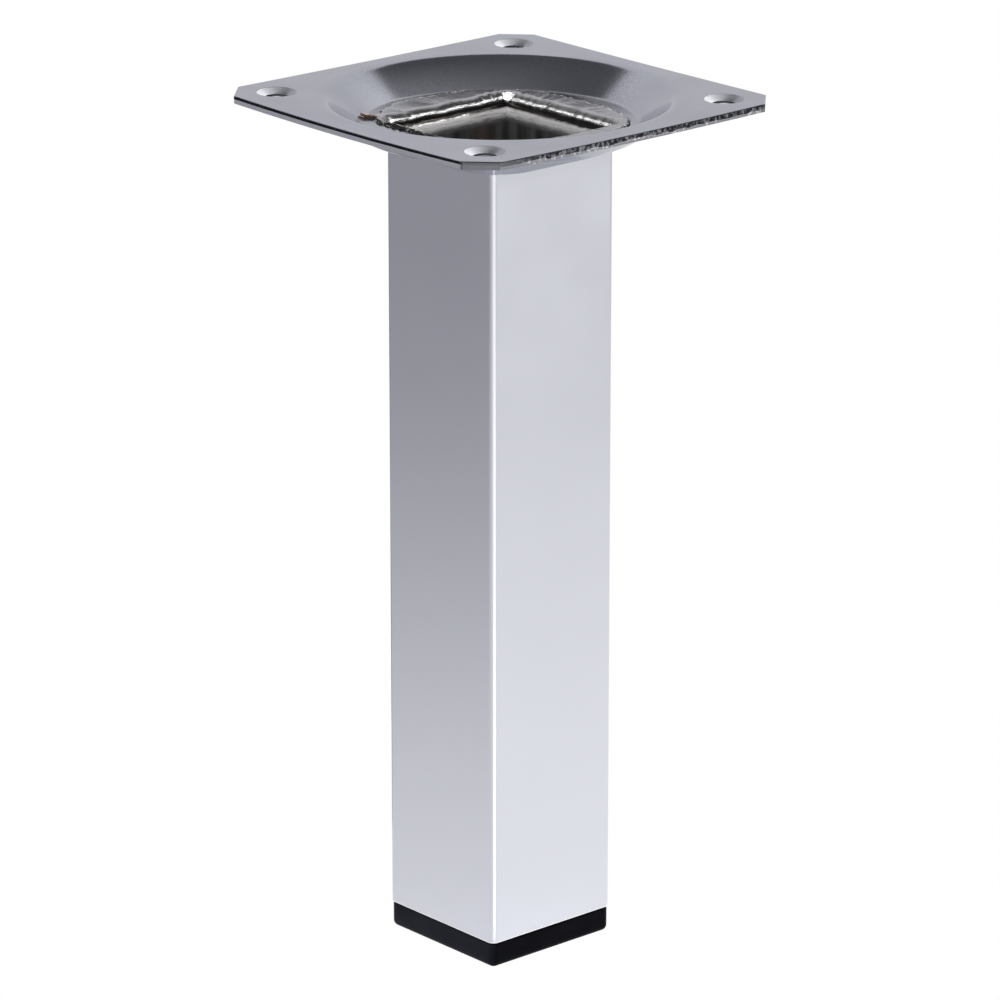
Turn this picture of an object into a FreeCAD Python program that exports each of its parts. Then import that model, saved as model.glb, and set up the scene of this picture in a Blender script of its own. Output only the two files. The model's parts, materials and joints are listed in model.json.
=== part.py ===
import FreeCAD, Part
import math
import os

from FreeCAD import Vector

# A square furniture leg: a dished steel plate, a tube flared over the plate's collar, and a screw foot.
# Millimetres. The origin is the middle of the sole, +Z runs up the leg, and the foot is screwed home.

# Leg as a whole
LEG_HEIGHT = 164.0          # sole to the plate's top face

# Square tube
TUBE_SIDE = 30.0
TUBE_WALL = 1.0
TUBE_INNER_CORNER = 0.4
FLARE_RADIUS = 2.6          # outside of the bend where the tube's mouth turns out
FLANGE_THICKNESS = 0.55     # the wall stretches thin as it is bent out
FLANGE_LAND = 0.55          # flat flange left past the bend at the tube's corners

# Dished mounting plate
SHEET = 1.5
DISH_DEPTH = 5.2            # top face down to the dish's floor
DISH_WALL_ANGLE = 38.0      # degrees from the floor
FLOOR_MARGIN = 1.1          # flat floor left round the flange
LOWER_ROLL = 2.0            # bend from floor to wall, on the upper side
UPPER_ROLL = 3.5            # bend from wall to rim, on the upper side
RIM_WIDTH = 3.367           # flat rim left between the dish and the middle of an edge
CORNER_CUT = 4.9            # leg of the cut across each corner
COLLAR_DROP = 5.1           # dish floor down to the collar's lower edge
COLLAR_EDGE = 0.4           # the collar is drawn this thin at its lower edge
COLLAR_CLEARANCE = 0.05     # between the collar and the tube

# Screw holes in the plate
HOLE_RADIUS = 2.3
COUNTERSINK_RADIUS = 3.7
COUNTERSINK_DEPTH = 1.0
HOLE_INSET = 7.8            # hole axis to the plate's edges

# Levelling screw
STUD_RADIUS = 4.0
STUD_REACH = 29.0           # foot's top face up to the stud's tip
STUD_TIP_CHAMFER = 0.8
HEAD_RADIUS = 9.0           # disc moulded into the foot
HEAD_THICKNESS = 2.0
THREAD_CLEARANCE = 0.05     # stud to nut
HEAD_CLEARANCE = 0.05       # stud to foot

# Captive nut
NUT_ACROSS_FLATS = 13.0
NUT_THICKNESS = 6.5
NUT_CHAMFER = 30.0          # degrees
NUT_CLEARANCE = 0.05        # nut to its pocket
NUT_INSET = 0.2             # plug's lower face up to the nut

# Ribbed plug in the tube's lower end
PLUG_LENGTH = 22.0
PLUG_INSET = 0.2            # tube's end up to the plug
PLUG_CLEARANCE = 0.05       # plug to tube
PLUG_CORE_WALL = 2.4        # plastic round the nut's corners
PLUG_END_THICKNESS = 2.5
FIN_COUNT = 4
FIN_THICKNESS = 1.2
STUD_BORE_CLEARANCE = 0.4   # stud to the plug's bore

# Square foot
FOOT_HEIGHT = 4.8
FOOT_INSET = 0.3            # foot's sides in from the tube's sides
FOOT_GAP = 0.2              # foot's top face to the tube's end
FOOT_SOLE_ROUND = 1.2
SOLE_UNDER_HEAD = 1.4       # plastic under the stud's disc

# Sizes that follow
UP = Vector(0, 0, 1)
tube_half = TUBE_SIDE / 2
tube_corner = TUBE_INNER_CORNER + TUBE_WALL
bore_half = tube_half - TUBE_WALL
tube_end = FOOT_HEIGHT + FOOT_GAP
corner_centre = tube_half - tube_corner
floor_top = LEG_HEIGHT - DISH_DEPTH
floor_bottom = floor_top - SHEET
flange_bottom = floor_top + COLLAR_CLEARANCE
flange_top = flange_bottom + FLANGE_THICKNESS
bend_level = flange_bottom - FLARE_RADIUS
flange_radius = corner_centre * math.sqrt(2) + tube_corner + FLARE_RADIUS + FLANGE_LAND
floor_radius = flange_radius + FLOOR_MARGIN
wall_angle = math.radians(DISH_WALL_ANGLE)
rolls_rise = (LOWER_ROLL + UPPER_ROLL) * (1 - math.cos(wall_angle))
wall_run = (DISH_DEPTH - rolls_rise) / math.tan(wall_angle)
dish_radius = floor_radius + (LOWER_ROLL + UPPER_ROLL) * math.sin(wall_angle) + wall_run
plate_half = dish_radius + RIM_WIDTH
hole_place = plate_half - HOLE_INSET
plug_bottom = tube_end + PLUG_INSET
nut_bottom = plug_bottom + NUT_INSET
stud_tip = FOOT_HEIGHT + STUD_REACH


def point(x, z):
    """A point of a section, which is drawn in the XZ plane."""
    return Vector(x, 0, z)


def line(start, end):
    return Part.LineSegment(start, end).toShape()


def arc(centre, radius, start, end):
    """An arc of a section about a centre, between two angles in degrees counted from +X towards +Z."""
    angles = [math.radians(a) for a in (start, (start + end) / 2, end)]
    ends = [centre + point(radius * math.cos(a), radius * math.sin(a)) for a in angles]
    return Part.Arc(*ends).toShape()


def face_of(edges):
    """The flat face inside a closed run of edges."""
    return Part.Face(Part.Wire(Part.__sortEdges__(edges)))


def square_prism(half, corner, bottom, top):
    """An upright square bar with round vertical edges."""
    bar = Part.makeBox(2 * half, 2 * half, top - bottom, Vector(-half, -half, bottom))
    uprights = [e for e in bar.Edges if abs(e.tangentAt(e.FirstParameter).z) > 0.5]
    return bar.makeFillet(corner, uprights)


def carried_round_tube(section):
    """A section carried round the tube: pushed along each side and turned about each corner.

    The section's x is counted outwards from the tube's outer face.
    """
    side = section.translated(Vector(tube_half, -corner_centre, 0)).extrude(Vector(0, 2 * corner_centre, 0))
    corner_start = section.translated(Vector(tube_half, corner_centre, 0))
    corner = corner_start.revolve(Vector(corner_centre, corner_centre, 0), UP, 90)
    quarters = []
    for turn in range(4):
        for piece in (side, corner):
            copy = piece.copy()
            copy.rotate(Vector(), UP, 90 * turn)
            quarters.append(copy)
    return quarters[0].fuse(quarters[1:]).removeSplitter()


def leg_tube():
    """Square tube whose mouth is bent out over the plate's collar into a round, thinned flange."""
    bend = point(FLARE_RADIUS, bend_level)
    mouth_radius = FLARE_RADIUS + FLANGE_THICKNESS
    mouth_bend = point(mouth_radius - TUBE_WALL, bend_level)
    past_edge = flange_radius - tube_half + TUBE_WALL
    wall = face_of([
        line(point(0, tube_end), point(-TUBE_WALL, tube_end)),
        line(point(-TUBE_WALL, tube_end), point(-TUBE_WALL, bend_level)),
        arc(mouth_bend, mouth_radius, 180, 90),
        line(point(mouth_radius - TUBE_WALL, flange_top), point(past_edge, flange_top)),
        line(point(past_edge, flange_top), point(past_edge, flange_bottom)),
        line(point(past_edge, flange_bottom), point(FLARE_RADIUS, flange_bottom)),
        arc(bend, FLARE_RADIUS, 90, 180),
        line(point(0, bend_level), point(0, tube_end)),
    ])
    trim = Part.makeCylinder(flange_radius, flange_top - tube_end, Vector(0, 0, tube_end))
    return carried_round_tube(wall).common(trim)


def plate_collar():
    """Edge of the plate's square opening, turned down round the tube and drawn thin."""
    bend = point(FLARE_RADIUS, bend_level)
    upper_bend = FLARE_RADIUS - COLLAR_CLEARANCE
    lower_bend = upper_bend - SHEET
    edge_level = floor_top - COLLAR_DROP
    inner_edge = point(COLLAR_CLEARANCE, edge_level)
    outer_edge = point(COLLAR_CLEARANCE + COLLAR_EDGE, edge_level)
    collar = face_of([
        line(inner_edge, point(COLLAR_CLEARANCE, bend_level)),
        arc(bend, upper_bend, 180, 90),
        line(point(FLARE_RADIUS, floor_top), point(FLARE_RADIUS, floor_bottom)),
        arc(bend, lower_bend, 90, 180),
        line(point(COLLAR_CLEARANCE + SHEET, bend_level), outer_edge),
        line(outer_edge, inner_edge),
    ])
    return carried_round_tube(collar)


def dished_blank():
    """Sheet spun into a shallow dish: floor, lower roll, sloping wall, upper roll and flat rim."""
    low = point(floor_radius, floor_top + LOWER_ROLL)
    high = point(dish_radius, LEG_HEIGHT - UPPER_ROLL)
    reach = 2 * plate_half
    slope_low = DISH_WALL_ANGLE - 90
    slope_high = DISH_WALL_ANGLE + 90

    def on(centre, radius, angle):
        turn = math.radians(angle)
        return centre + point(radius * math.cos(turn), radius * math.sin(turn))

    section = face_of([
        line(point(0, floor_top), point(floor_radius, floor_top)),
        arc(low, LOWER_ROLL, -90, slope_low),
        line(on(low, LOWER_ROLL, slope_low), on(high, UPPER_ROLL, slope_high)),
        arc(high, UPPER_ROLL, slope_high, 90),
        line(point(dish_radius, LEG_HEIGHT), point(reach, LEG_HEIGHT)),
        line(point(reach, LEG_HEIGHT), point(reach, LEG_HEIGHT - SHEET)),
        line(point(reach, LEG_HEIGHT - SHEET), point(dish_radius, LEG_HEIGHT - SHEET)),
        arc(high, UPPER_ROLL - SHEET, 90, slope_high),
        line(on(high, UPPER_ROLL - SHEET, slope_high), on(low, LOWER_ROLL + SHEET, slope_low)),
        arc(low, LOWER_ROLL + SHEET, slope_low, -90),
        line(point(floor_radius, floor_bottom), point(0, floor_bottom)),
        line(point(0, floor_bottom), point(0, floor_top)),
    ])
    return section.revolve(Vector(), UP, 360)


def screw_hole():
    """Cutter of one countersunk hole, standing at the origin with its mouth at the plate's top face."""
    hole = Part.makeCylinder(HOLE_RADIUS, DISH_DEPTH + SHEET, Vector(0, 0, floor_bottom))
    seat_bottom = Vector(0, 0, LEG_HEIGHT - COUNTERSINK_DEPTH)
    return hole.fuse(Part.makeCone(HOLE_RADIUS, COUNTERSINK_RADIUS, COUNTERSINK_DEPTH, seat_bottom))


def mounting_plate():
    """Square plate with cut corners, a pressed dish, a drawn collar and four countersunk holes."""
    blank = Part.makeBox(2 * plate_half, 2 * plate_half, DISH_DEPTH + SHEET,
                         Vector(-plate_half, -plate_half, floor_bottom))
    uprights = [e for e in blank.Edges if abs(e.tangentAt(e.FirstParameter).z) > 0.5]
    plate = dished_blank().common(blank.makeChamfer(CORNER_CUT, uprights))
    opening = square_prism(tube_half + FLARE_RADIUS, tube_corner + FLARE_RADIUS, floor_bottom, floor_top)
    plate = plate.cut(opening).fuse(plate_collar()).removeSplitter()
    for x in (-hole_place, hole_place):
        for y in (-hole_place, hole_place):
            plate = plate.cut(screw_hole().translated(Vector(x, y, 0)))
    return plate


def hexagon(across_flats, bottom, height):
    """Upright hexagonal bar with flats facing X."""
    radius = across_flats / math.sqrt(3)
    angles = [math.radians(30 + 60 * k) for k in range(7)]
    ring = [Vector(radius * math.cos(a), radius * math.sin(a), bottom) for a in angles]
    return Part.Face(Part.makePolygon(ring)).extrude(Vector(0, 0, height))


def captive_nut():
    """Hexagonal nut with its corners turned down at both ends."""
    corner = NUT_ACROSS_FLATS / math.sqrt(3)
    flat = NUT_ACROSS_FLATS / 2
    drop = (corner - flat) * math.tan(math.radians(NUT_CHAMFER))
    top = nut_bottom + NUT_THICKNESS
    turned = Part.makePolygon([
        point(0, nut_bottom), point(flat, nut_bottom), point(corner, nut_bottom + drop),
        point(corner, top - drop), point(flat, top), point(0, top), point(0, nut_bottom),
    ])
    turning = Part.Face(turned).revolve(Vector(), UP, 360)
    thread = Part.makeCylinder(STUD_RADIUS + THREAD_CLEARANCE, NUT_THICKNESS, Vector(0, 0, nut_bottom))
    return hexagon(NUT_ACROSS_FLATS, nut_bottom, NUT_THICKNESS).common(turning).cut(thread)


def tube_plug():
    """Moulded plug: an end wall, a round core that holds the nut, and square fins that grip the tube."""
    half = bore_half - PLUG_CLEARANCE
    core_radius = NUT_ACROSS_FLATS / math.sqrt(3) + PLUG_CORE_WALL
    plug = Part.makeCylinder(core_radius, PLUG_LENGTH, Vector(0, 0, plug_bottom))
    plug = plug.fuse(square_prism(half, TUBE_INNER_CORNER, plug_bottom, plug_bottom + PLUG_END_THICKNESS))
    fin_pitch = (PLUG_LENGTH - PLUG_END_THICKNESS) / FIN_COUNT
    for fin in range(FIN_COUNT):
        fin_top = plug_bottom + PLUG_LENGTH - fin * fin_pitch
        plug = plug.fuse(square_prism(half, TUBE_INNER_CORNER, fin_top - FIN_THICKNESS, fin_top))
    pocket_depth = NUT_INSET + NUT_THICKNESS + NUT_CLEARANCE
    pocket = hexagon(NUT_ACROSS_FLATS + 2 * NUT_CLEARANCE, plug_bottom, pocket_depth)
    bore = Part.makeCylinder(STUD_RADIUS + STUD_BORE_CLEARANCE, PLUG_LENGTH, Vector(0, 0, plug_bottom))
    return plug.cut(pocket).cut(bore).removeSplitter()


def levelling_stud():
    """Threaded stud with a disc head; its thread is a plain cylinder here."""
    head_top = SOLE_UNDER_HEAD + HEAD_THICKNESS
    outline = Part.makePolygon([
        point(0, SOLE_UNDER_HEAD), point(HEAD_RADIUS, SOLE_UNDER_HEAD), point(HEAD_RADIUS, head_top),
        point(STUD_RADIUS, head_top), point(STUD_RADIUS, stud_tip - STUD_TIP_CHAMFER),
        point(STUD_RADIUS - STUD_TIP_CHAMFER, stud_tip), point(0, stud_tip), point(0, SOLE_UNDER_HEAD),
    ])
    return Part.Face(outline).revolve(Vector(), UP, 360)


def foot_pad():
    """Square plastic foot moulded round the stud's disc, with its sole rounded off."""
    foot = square_prism(tube_half - FOOT_INSET, tube_corner, 0, FOOT_HEIGHT)
    sole = [e for e in foot.Edges if e.BoundBox.ZMax < FOOT_SOLE_ROUND / 2]
    foot = foot.makeFillet(FOOT_SOLE_ROUND, sole)
    disc_room = Part.makeCylinder(HEAD_RADIUS + HEAD_CLEARANCE, HEAD_THICKNESS + 2 * HEAD_CLEARANCE,
                                  Vector(0, 0, SOLE_UNDER_HEAD - HEAD_CLEARANCE))
    stud_room = Part.makeCylinder(STUD_RADIUS + HEAD_CLEARANCE, FOOT_HEIGHT - SOLE_UNDER_HEAD,
                                  Vector(0, 0, SOLE_UNDER_HEAD))
    return foot.cut(disc_room.fuse(stud_room))


PIECES = (mounting_plate, leg_tube, tube_plug, captive_nut, levelling_stud, foot_pad)

os.makedirs("parts", exist_ok=True)
for piece in PIECES:
    shape = piece()
    box = shape.BoundBox
    print(piece.__name__, "solids", len(shape.Solids), "valid", shape.isValid(),
          "volume", round(shape.Volume, 1), "z", round(box.ZMin, 2), round(box.ZMax, 2),
          "width", round(box.XLength, 2))
    shape.exportStep(os.path.join("parts", piece.__name__ + ".step"))
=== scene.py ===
# %% [markdown]
# # A square furniture leg with a screw foot
# The frame holds the leg as solids: a pressed plate, a tube flared over the plate's collar, a plug with a
# nut, and a foot on a stud. This lesson dresses them. Each visible piece is worked out again as a surface
# in numpy, with the small signs of how it was made: sheared edges, a torn flange, moulding grain.

# %% The frame and the tools
import json
import math
from functools import partialmethod

import bmesh
import bpy
import numpy as np
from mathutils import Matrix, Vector


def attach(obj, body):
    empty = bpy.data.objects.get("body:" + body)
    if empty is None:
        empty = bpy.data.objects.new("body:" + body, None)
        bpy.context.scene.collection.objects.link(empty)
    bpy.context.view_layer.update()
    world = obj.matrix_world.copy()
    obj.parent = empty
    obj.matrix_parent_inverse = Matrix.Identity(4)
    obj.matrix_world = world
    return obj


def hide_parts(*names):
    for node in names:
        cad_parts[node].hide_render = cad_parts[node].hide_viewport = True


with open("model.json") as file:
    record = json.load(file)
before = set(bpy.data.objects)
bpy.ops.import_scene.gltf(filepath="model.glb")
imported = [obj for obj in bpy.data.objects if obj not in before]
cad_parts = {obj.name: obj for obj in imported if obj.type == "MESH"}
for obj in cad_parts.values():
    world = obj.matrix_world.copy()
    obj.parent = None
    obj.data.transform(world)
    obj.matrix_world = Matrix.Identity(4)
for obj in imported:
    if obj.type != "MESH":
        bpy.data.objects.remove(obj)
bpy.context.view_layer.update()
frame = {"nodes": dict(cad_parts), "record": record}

# %% [markdown]
# ## Measuring the solids
# A dressed piece has to sit exactly where its solid sits, so the sizes come from the solids' own corners
# wherever a corner shows them. All shapes are worked out in millimetres and made metres at the end.

# %% Sizes read from the frame
MM = 0.001


def corners_of(node):
    """Every corner of a CAD node as rows of x, y, z in millimetres."""
    mesh = frame["nodes"][node].data
    flat = np.empty(3 * len(mesh.vertices))
    mesh.vertices.foreach_get("co", flat)
    return flat.reshape(-1, 3) / MM


tube = corners_of("leg_tube")
tube_end = tube[:, 2].min()
end_ring = np.abs(tube[tube[:, 2] < tube_end + 0.01, :2]).max(axis=1)
tube_half = end_ring.max()
bore_half = end_ring.min()
flange_top = tube[:, 2].max()
flange_radius = np.hypot(tube[:, 0], tube[:, 1]).max()

plate = corners_of("mounting_plate")
plate_top = plate[:, 2].max()
plate_half = plate[:, 0].max()
corner_cut = 2 * plate_half - np.abs(plate[:, :2]).sum(axis=1).max()
collar_edge_level = plate[:, 2].min()

foot = corners_of("foot_pad")
foot_half = foot[:, 0].max()
foot_top = foot[:, 2].max()

stud = corners_of("levelling_stud")
stud_tip = stud[:, 2].max()
head_bottom = stud[:, 2].min()
head_radius = stud[:, 0].max()

screws = next(m for m in frame["record"]["mounts"] if m["name"] == "plate_screws")
hole_place = screws["dims"]["spacing_x_mm"] / 2
hole_radius = screws["dims"]["hole_r_mm"]
print(f"tube {2 * tube_half:.2f}, wall {tube_half - bore_half:.2f}, flange radius {flange_radius:.2f}")
print(f"plate {2 * plate_half:.2f}, cut {corner_cut:.2f}, top {plate_top:.2f}, holes at {hole_place:.2f}")

# %% Sizes of bends and sheet, which no single corner shows
TUBE_CORNER = 1.4
FLARE_RADIUS = 2.6
SHEET = 1.5
DISH_DEPTH = 5.2
DISH_WALL_ANGLE = 38.0
FLOOR_MARGIN = 1.1
LOWER_ROLL = 2.0
UPPER_ROLL = 3.5
COLLAR_CLEARANCE = 0.05
COLLAR_EDGE = 0.4
COUNTERSINK_RADIUS = 3.7
COUNTERSINK_DEPTH = 1.0

tube_wall = tube_half - bore_half
floor_top = plate_top - DISH_DEPTH
bend_level = floor_top + COLLAR_CLEARANCE - FLARE_RADIUS
floor_radius = flange_radius + FLOOR_MARGIN
wall_turn = math.radians(DISH_WALL_ANGLE)
rolls = LOWER_ROLL + UPPER_ROLL
wall_run = (DISH_DEPTH - rolls * (1 - math.cos(wall_turn))) / math.tan(wall_turn)
dish_radius = floor_radius + rolls * math.sin(wall_turn) + wall_run
print(f"dish radius {dish_radius:.2f}, floor at {floor_top:.2f}, bend centre at {bend_level:.2f}")

# %% [markdown]
# ## Columns round a square
# Tube, collar and foot are all a section carried round a square with round corners. A column of the
# surface stands somewhere on that square and faces outwards. Along a side its foot moves and its facing
# stays; round a corner its foot stays on the corner's centre and its facing turns. With those two arrays,
# any section becomes a surface in one line: foot plus facing times distance.

# %% Columns and sections


def four_times(quarter):
    """A quarter's plan points followed by their copies turned by 90, 180 and 270 degrees."""
    turned = [quarter]
    for _ in range(3):
        last = turned[-1]
        turned.append(np.stack([-last[:, 1], last[:, 0]], axis=1))
    return np.concatenate(turned)


def ways(turn):
    """Unit plan vectors (cos t, sin t) of an array of turns t in radians."""
    return np.stack([np.cos(turn), np.sin(turn)], axis=1)


def raised(plan, level):
    """Plan points with a height added: one for each point, for each row, or one for all."""
    height = np.broadcast_to(level, plan.shape[:-1])
    return np.concatenate([plan, height[..., None]], axis=-1)


def columns_round(core, side_steps, corner_steps):
    """Feet and facings of the columns round a square whose corner centres lie `core` from its middle lines.

    One quarter is a side, with feet (core, s * core) for s from -1 to 1, then a corner, with facings turned
    by 0 to 90 degrees. The other quarters are that one turned.
    """
    along = np.linspace(-1, 1, side_steps, endpoint=False)
    turn = np.linspace(0, np.pi / 2, corner_steps, endpoint=False)
    feet = np.full((side_steps + corner_steps, 2), core, float)
    feet[:side_steps, 1] = core * along
    facing = np.zeros_like(feet)
    facing[:side_steps, 0] = 1
    facing[side_steps:] = ways(turn)
    return four_times(feet), four_times(facing)


def arc(out, level, radius, start, end, steps):
    """Points (out, level) on an arc about a centre, angles in degrees from outwards to upwards."""
    turn = np.radians(np.linspace(start, end, steps + 1))
    return np.stack([out + radius * np.cos(turn), level + radius * np.sin(turn)], axis=1)


def straight(start, end, steps):
    """Points on a straight run of a section, both ends included."""
    share = np.linspace(0, 1, steps + 1)[:, None]
    return np.asarray(start) * (1 - share) + np.asarray(end) * share


def carried(section, feet, facing):
    """Rows of the surface that a section makes: plan = foot + facing * out, and height = level."""
    plan = feet[None] + facing[None] * section[:, 0, None, None]
    return raised(plan, section[:, 1, None])


def off_tube(section, feet, facing):
    """Rows of a section at distances out from the tube's outer face."""
    return carried(section + (TUBE_CORNER, 0), feet, facing)


def about_axis(section, way):
    """Rows of a section at radii from the leg's axis: plan = way * radius."""
    return carried(np.asarray(section), np.zeros_like(way), way)


def between(first, last, steps):
    """Rows that lead evenly from one row to another, without those two."""
    share = np.linspace(0, 1, steps + 1)[1:-1, None, None]
    return first[None] * (1 - share) + last[None] * share


def numbered(rows):
    """Corner numbers of a grid, counted along one row after another."""
    return np.arange(rows.shape[0] * rows.shape[1]).reshape(rows.shape[:2])


def quads_between(index):
    """Quads between neighbouring rows of corner numbers, each row closed on itself."""
    turned = np.roll(index, -1, axis=1)
    return np.stack([index[:-1], turned[:-1], turned[1:], index[1:]], axis=-1)


def wobble(count, waves, seed):
    """A smooth closed wobble of unit size round `count` columns: sines of random sizes and starts, added."""
    draw = np.random.default_rng(seed)
    turn = np.linspace(0, 2 * np.pi, count, endpoint=False)
    size = draw.normal(size=len(waves))
    start = draw.uniform(0, 2 * np.pi, len(waves))
    total = (size[:, None] * np.sin(np.outer(waves, turn) + start[:, None])).sum(axis=0)
    return total / np.sqrt((size ** 2).sum() / 2)


print("a side of 4 steps and a corner of 2 give", len(columns_round(10, 4, 2)[0]), "columns")

# %% [markdown]
# ## From arrays to a piece
# Blender takes a mesh as corner places and faces. Making a piece also smooths the shading between faces
# that meet gently, turns all faces outwards, hangs the piece on the body that carries it and hides the
# solid it stands for. It prints the enclosed volume, which should be close to the solid's.

# %% Making a piece
SHARP = math.radians(32)    # faces that meet at more than this keep a hard edge
scene = bpy.context.scene


def placed(name, data):
    """A new object in the scene."""
    made = bpy.data.objects.new(name, data)
    scene.collection.objects.link(made)
    return made


def make_mesh(name, points, faces, materials, marks=None):
    """A mesh from points in metres. Marks are named numbers on its corners, for the finishes."""
    mesh = bpy.data.meshes.new(name)
    mesh.from_pydata(points.tolist(), [], faces)
    for label, values in (marks or {}).items():
        layer = mesh.attributes.new(label, "FLOAT", "POINT")
        layer.data.foreach_set("value", np.asarray(values, np.float32).ravel())
    for material in materials:
        mesh.materials.append(material)
    return mesh


def make_piece(name, points, faces, body, materials, replaced, marks=None, zones=None):
    """A piece from points in millimetres, riding on a body in place of a solid.

    Zones are the faces' material numbers.
    """
    mesh = make_mesh(name, points * MM, faces, materials, marks)
    if zones is not None:
        mesh.polygons.foreach_set("material_index", np.asarray(zones, np.int32))
    shell = bmesh.new()
    shell.from_mesh(mesh)
    bmesh.ops.recalc_face_normals(shell, faces=shell.faces)
    volume = shell.calc_volume(signed=True) / MM ** 3
    open_edges = sum(not edge.is_manifold for edge in shell.edges)
    shell.to_mesh(mesh)
    shell.free()
    mesh.shade_smooth()
    mesh.set_sharp_from_angle(angle=SHARP)
    piece = placed(name, mesh)
    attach(piece, body)
    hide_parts(replaced)
    print(f"{name}: {len(faces)} faces, {volume:.0f} cubic mm, {open_edges} open edges")
    return piece


print("pieces are worked out in millimetres, of", MM, "m each")

# %% [markdown]
# ## Building finishes
# A finish is a Principled shader fed by a few noises. All of them read Object coordinates, in metres, so
# a noise of scale 1000 has marks about a millimetre apart on every piece. What finishes share with the
# studio's room, adding nodes and mixing numbers and colours, stands in a class of its own.

# %% A small kit for nodes


class Nodes:
    """A node tree under construction. Wherever a value is asked for, a node's output socket may be given."""

    def __init__(self, tree):
        self.tree = tree

    def feed(self, socket, value):
        """Links an output into a socket, or sets the socket to a number, a vector or a colour."""
        if isinstance(value, bpy.types.NodeSocket):
            self.tree.links.new(value, socket)
        elif socket.type == "RGBA" and len(value) == 3:
            socket.default_value = (*value, 1.0)
        elif value is not None:
            socket.default_value = value

    def add(self, kind, *values, **settings):
        """A new node, with settings on it or on the sockets they name, and values for its first sockets."""
        made = self.tree.nodes.new(kind)
        for label, value in settings.items():
            if hasattr(made, label):
                setattr(made, label, value)
            else:
                self.feed(made.inputs[label.replace("_", " ")], value)
        for socket, value in zip(made.inputs, values):
            self.feed(socket, value)
        return made

    def ramp(self, value, low, high, start=0.0, end=1.0):
        """A number carried from the range start..end to the range low..high and held inside it."""
        return self.add("ShaderNodeMapRange", value, start, end, low, high).outputs["Result"]

    def maths(self, operation, first, second):
        """Two numbers put together by a Math operation."""
        return self.add("ShaderNodeMath", first, second, operation=operation).outputs["Value"]

    times = partialmethod(maths, "MULTIPLY")
    plus = partialmethod(maths, "ADD")
    minus = partialmethod(maths, "SUBTRACT")

    def blend(self, share, first, second):
        """A colour between two."""
        node = self.add("ShaderNodeMix", share, data_type="RGBA")
        sockets = [socket for socket in node.inputs if socket.type == "RGBA"]
        for socket, colour in zip(sockets, (first, second)):
            self.feed(socket, colour)
        return next(socket for socket in node.outputs if socket.type == "RGBA")

    def bands(self, value, stops):
        """A colour read off a scale of stops, each a place and a red, green, blue, blended between stops."""
        node = self.add("ShaderNodeValToRGB", value)
        elements = node.color_ramp.elements
        elements[0].position, elements[1].position = stops[0][0], stops[-1][0]
        for place, _ in stops[1:-1]:
            elements.new(place)
        for element, (_, colour) in zip(elements, stops):
            element.color = colour + (1.0,)
        return node.outputs["Color"]


print("node trees can", [name for name in vars(Nodes) if not name.startswith("_")])

# %% A small kit for finishes


class Finish(Nodes):
    """A material under construction: a Principled shader and the nodes that feed it."""

    def __init__(self, name, **constants):
        self.material = bpy.data.materials.new(name)
        self.material.use_nodes = True
        super().__init__(self.material.node_tree)
        self.shader = self.tree.nodes["Principled BSDF"]
        self.place = self.add("ShaderNodeTexCoord").outputs["Object"]
        self.wear(**constants)

    def stretched(self, scale, turn=(0, 0, 0)):
        """Object coordinates turned and scaled along each axis, for marks that run one way."""
        return self.add("ShaderNodeMapping", Vector=self.place, Scale=scale, Rotation=turn).outputs["Vector"]

    def noise(self, scale, detail=3.0, roughness=0.55, place=None):
        """Cloudy noise between 0 and 1."""
        node = self.add("ShaderNodeTexNoise", Vector=place or self.place,
                        Scale=scale, Detail=detail, Roughness=roughness)
        return node.outputs["Fac"]

    def mark(self, name):
        """The piece's own number of that name."""
        return self.add("ShaderNodeAttribute", attribute_name=name).outputs["Fac"]

    def relief(self, height, depth, under=None):
        """Bump of a given depth in millimetres, on top of another bump."""
        node = self.add("ShaderNodeBump", Height=height, Distance=depth * MM, Normal=under)
        return node.outputs["Normal"]

    def wear(self, **values):
        """Feeds the shader's sockets and gives the material."""
        for label, value in values.items():
            self.feed(self.shader.inputs[label.replace("_", " ")], value)
        return self.material


def clouded(name, cloud_scale, grain_scale, colours, rough, uneven, depth, **constants):
    """A plain finish: slow changes of tone and gloss under a fine grain, which also makes a relief."""
    finish = Finish(name, **constants)
    cloud = finish.noise(cloud_scale, detail=3)
    grain = finish.noise(grain_scale, detail=2)
    tone = finish.blend(finish.ramp(cloud, 0, 1, 0.35, 0.65), *colours)
    gloss = finish.plus(finish.ramp(cloud, *rough, 0.3, 0.7), finish.ramp(grain, -uneven, uneven))
    return finish.wear(Base_Color=tone, Roughness=gloss, Normal=finish.relief(grain, depth))


print("finishes can also", [name for name in vars(Finish) if not name.startswith("_")])

# %% [markdown]
# ## The plate's finish
# The plate is sheet steel with a satin grey plating: slow cloudy changes of tone, a few faint scratches,
# and at the back of the dish a fine grain where the press stretched the wall, with painted shade over it
# and a painted bounce light at its foot. Its edges were sheared, which leaves a smooth burnished band,
# painted near black as a dark reflection, above a broken one with painted glints where it is torn. The
# countersinks are matt, and painted shade darkens the underside, the bores and the groove round the tube's
# flange.
#
# The finish finds its way by numbers on the mesh's corners. Shear is 0 on the faces and rises from 0.5 to
# 1 down the edge. Torn and pale say how the edge came out at that place, and one more number says how dark
# the burnished band and the bores are painted. Seat is 1 in the countersinks; the other numbers mark the
# underside's painted shade, the back wall's grain with its painted shade, the painted bounce light at the
# wall's foot and the painted shade in the groove.

# %% Satin plate


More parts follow.
